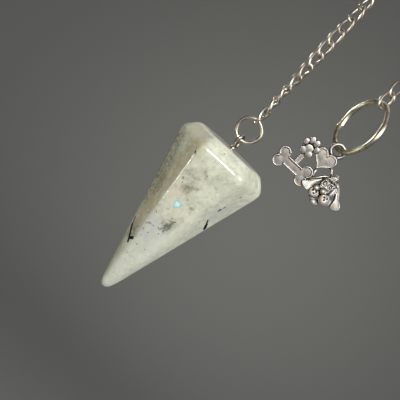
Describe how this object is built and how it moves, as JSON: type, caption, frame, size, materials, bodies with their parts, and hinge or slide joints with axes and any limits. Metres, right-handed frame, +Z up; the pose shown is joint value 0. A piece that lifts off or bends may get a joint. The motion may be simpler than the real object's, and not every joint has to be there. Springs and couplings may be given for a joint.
{
  "type": "pendulum pendant",
  "caption": "Six-sided tapered stone point hanging by an eye and a small ring on a fine curb chain, with a large holding ring and a small cast dog charm at the chain's other end.",
  "frame": {"origin": "middle of the peg or finger over which the chain hangs, under the bend of the chain", "axes": "+Z up, +Y runs backwards along the peg that the chain hangs over, the front with the dog's face looks along -Y, and the stone hangs on the -X side"},
  "size_m": [0.0359, 0.0198, 0.1322],
  "materials": {
    "moonstone": "polished, milky pale green-white with dark needles and brown stains",
    "plated_wire": "bright plated wire, slightly warm",
    "warm_wire": "bright plated wire, yellowish",
    "antique_casting": "antique silver plating, dark in the recesses"
  },
  "bodies": {
    "suspension": {"curb_chain": "plated_wire", "holding_ring": "warm_wire", "dog_charm": "antique_casting"},
    "ring": {"drop_ring": "plated_wire"},
    "drop": {"pendulum_stone": "moonstone", "eye_pin": "plated_wire"}
  },
  "joints": [
    {"name": "ring_sway", "type": "hinge", "parent": "suspension", "child": "ring", "pos_m": [-0.0082, 0, -0.07616], "axis": [0, 1, 0], "range_deg": [-14, 40]},
    {"name": "stone_swing", "type": "hinge", "parent": "ring", "child": "drop", "pos_m": [-0.0082, 0, -0.08067], "axis": [1, 0, 0], "range_deg": [-75, 75]}
  ]
}
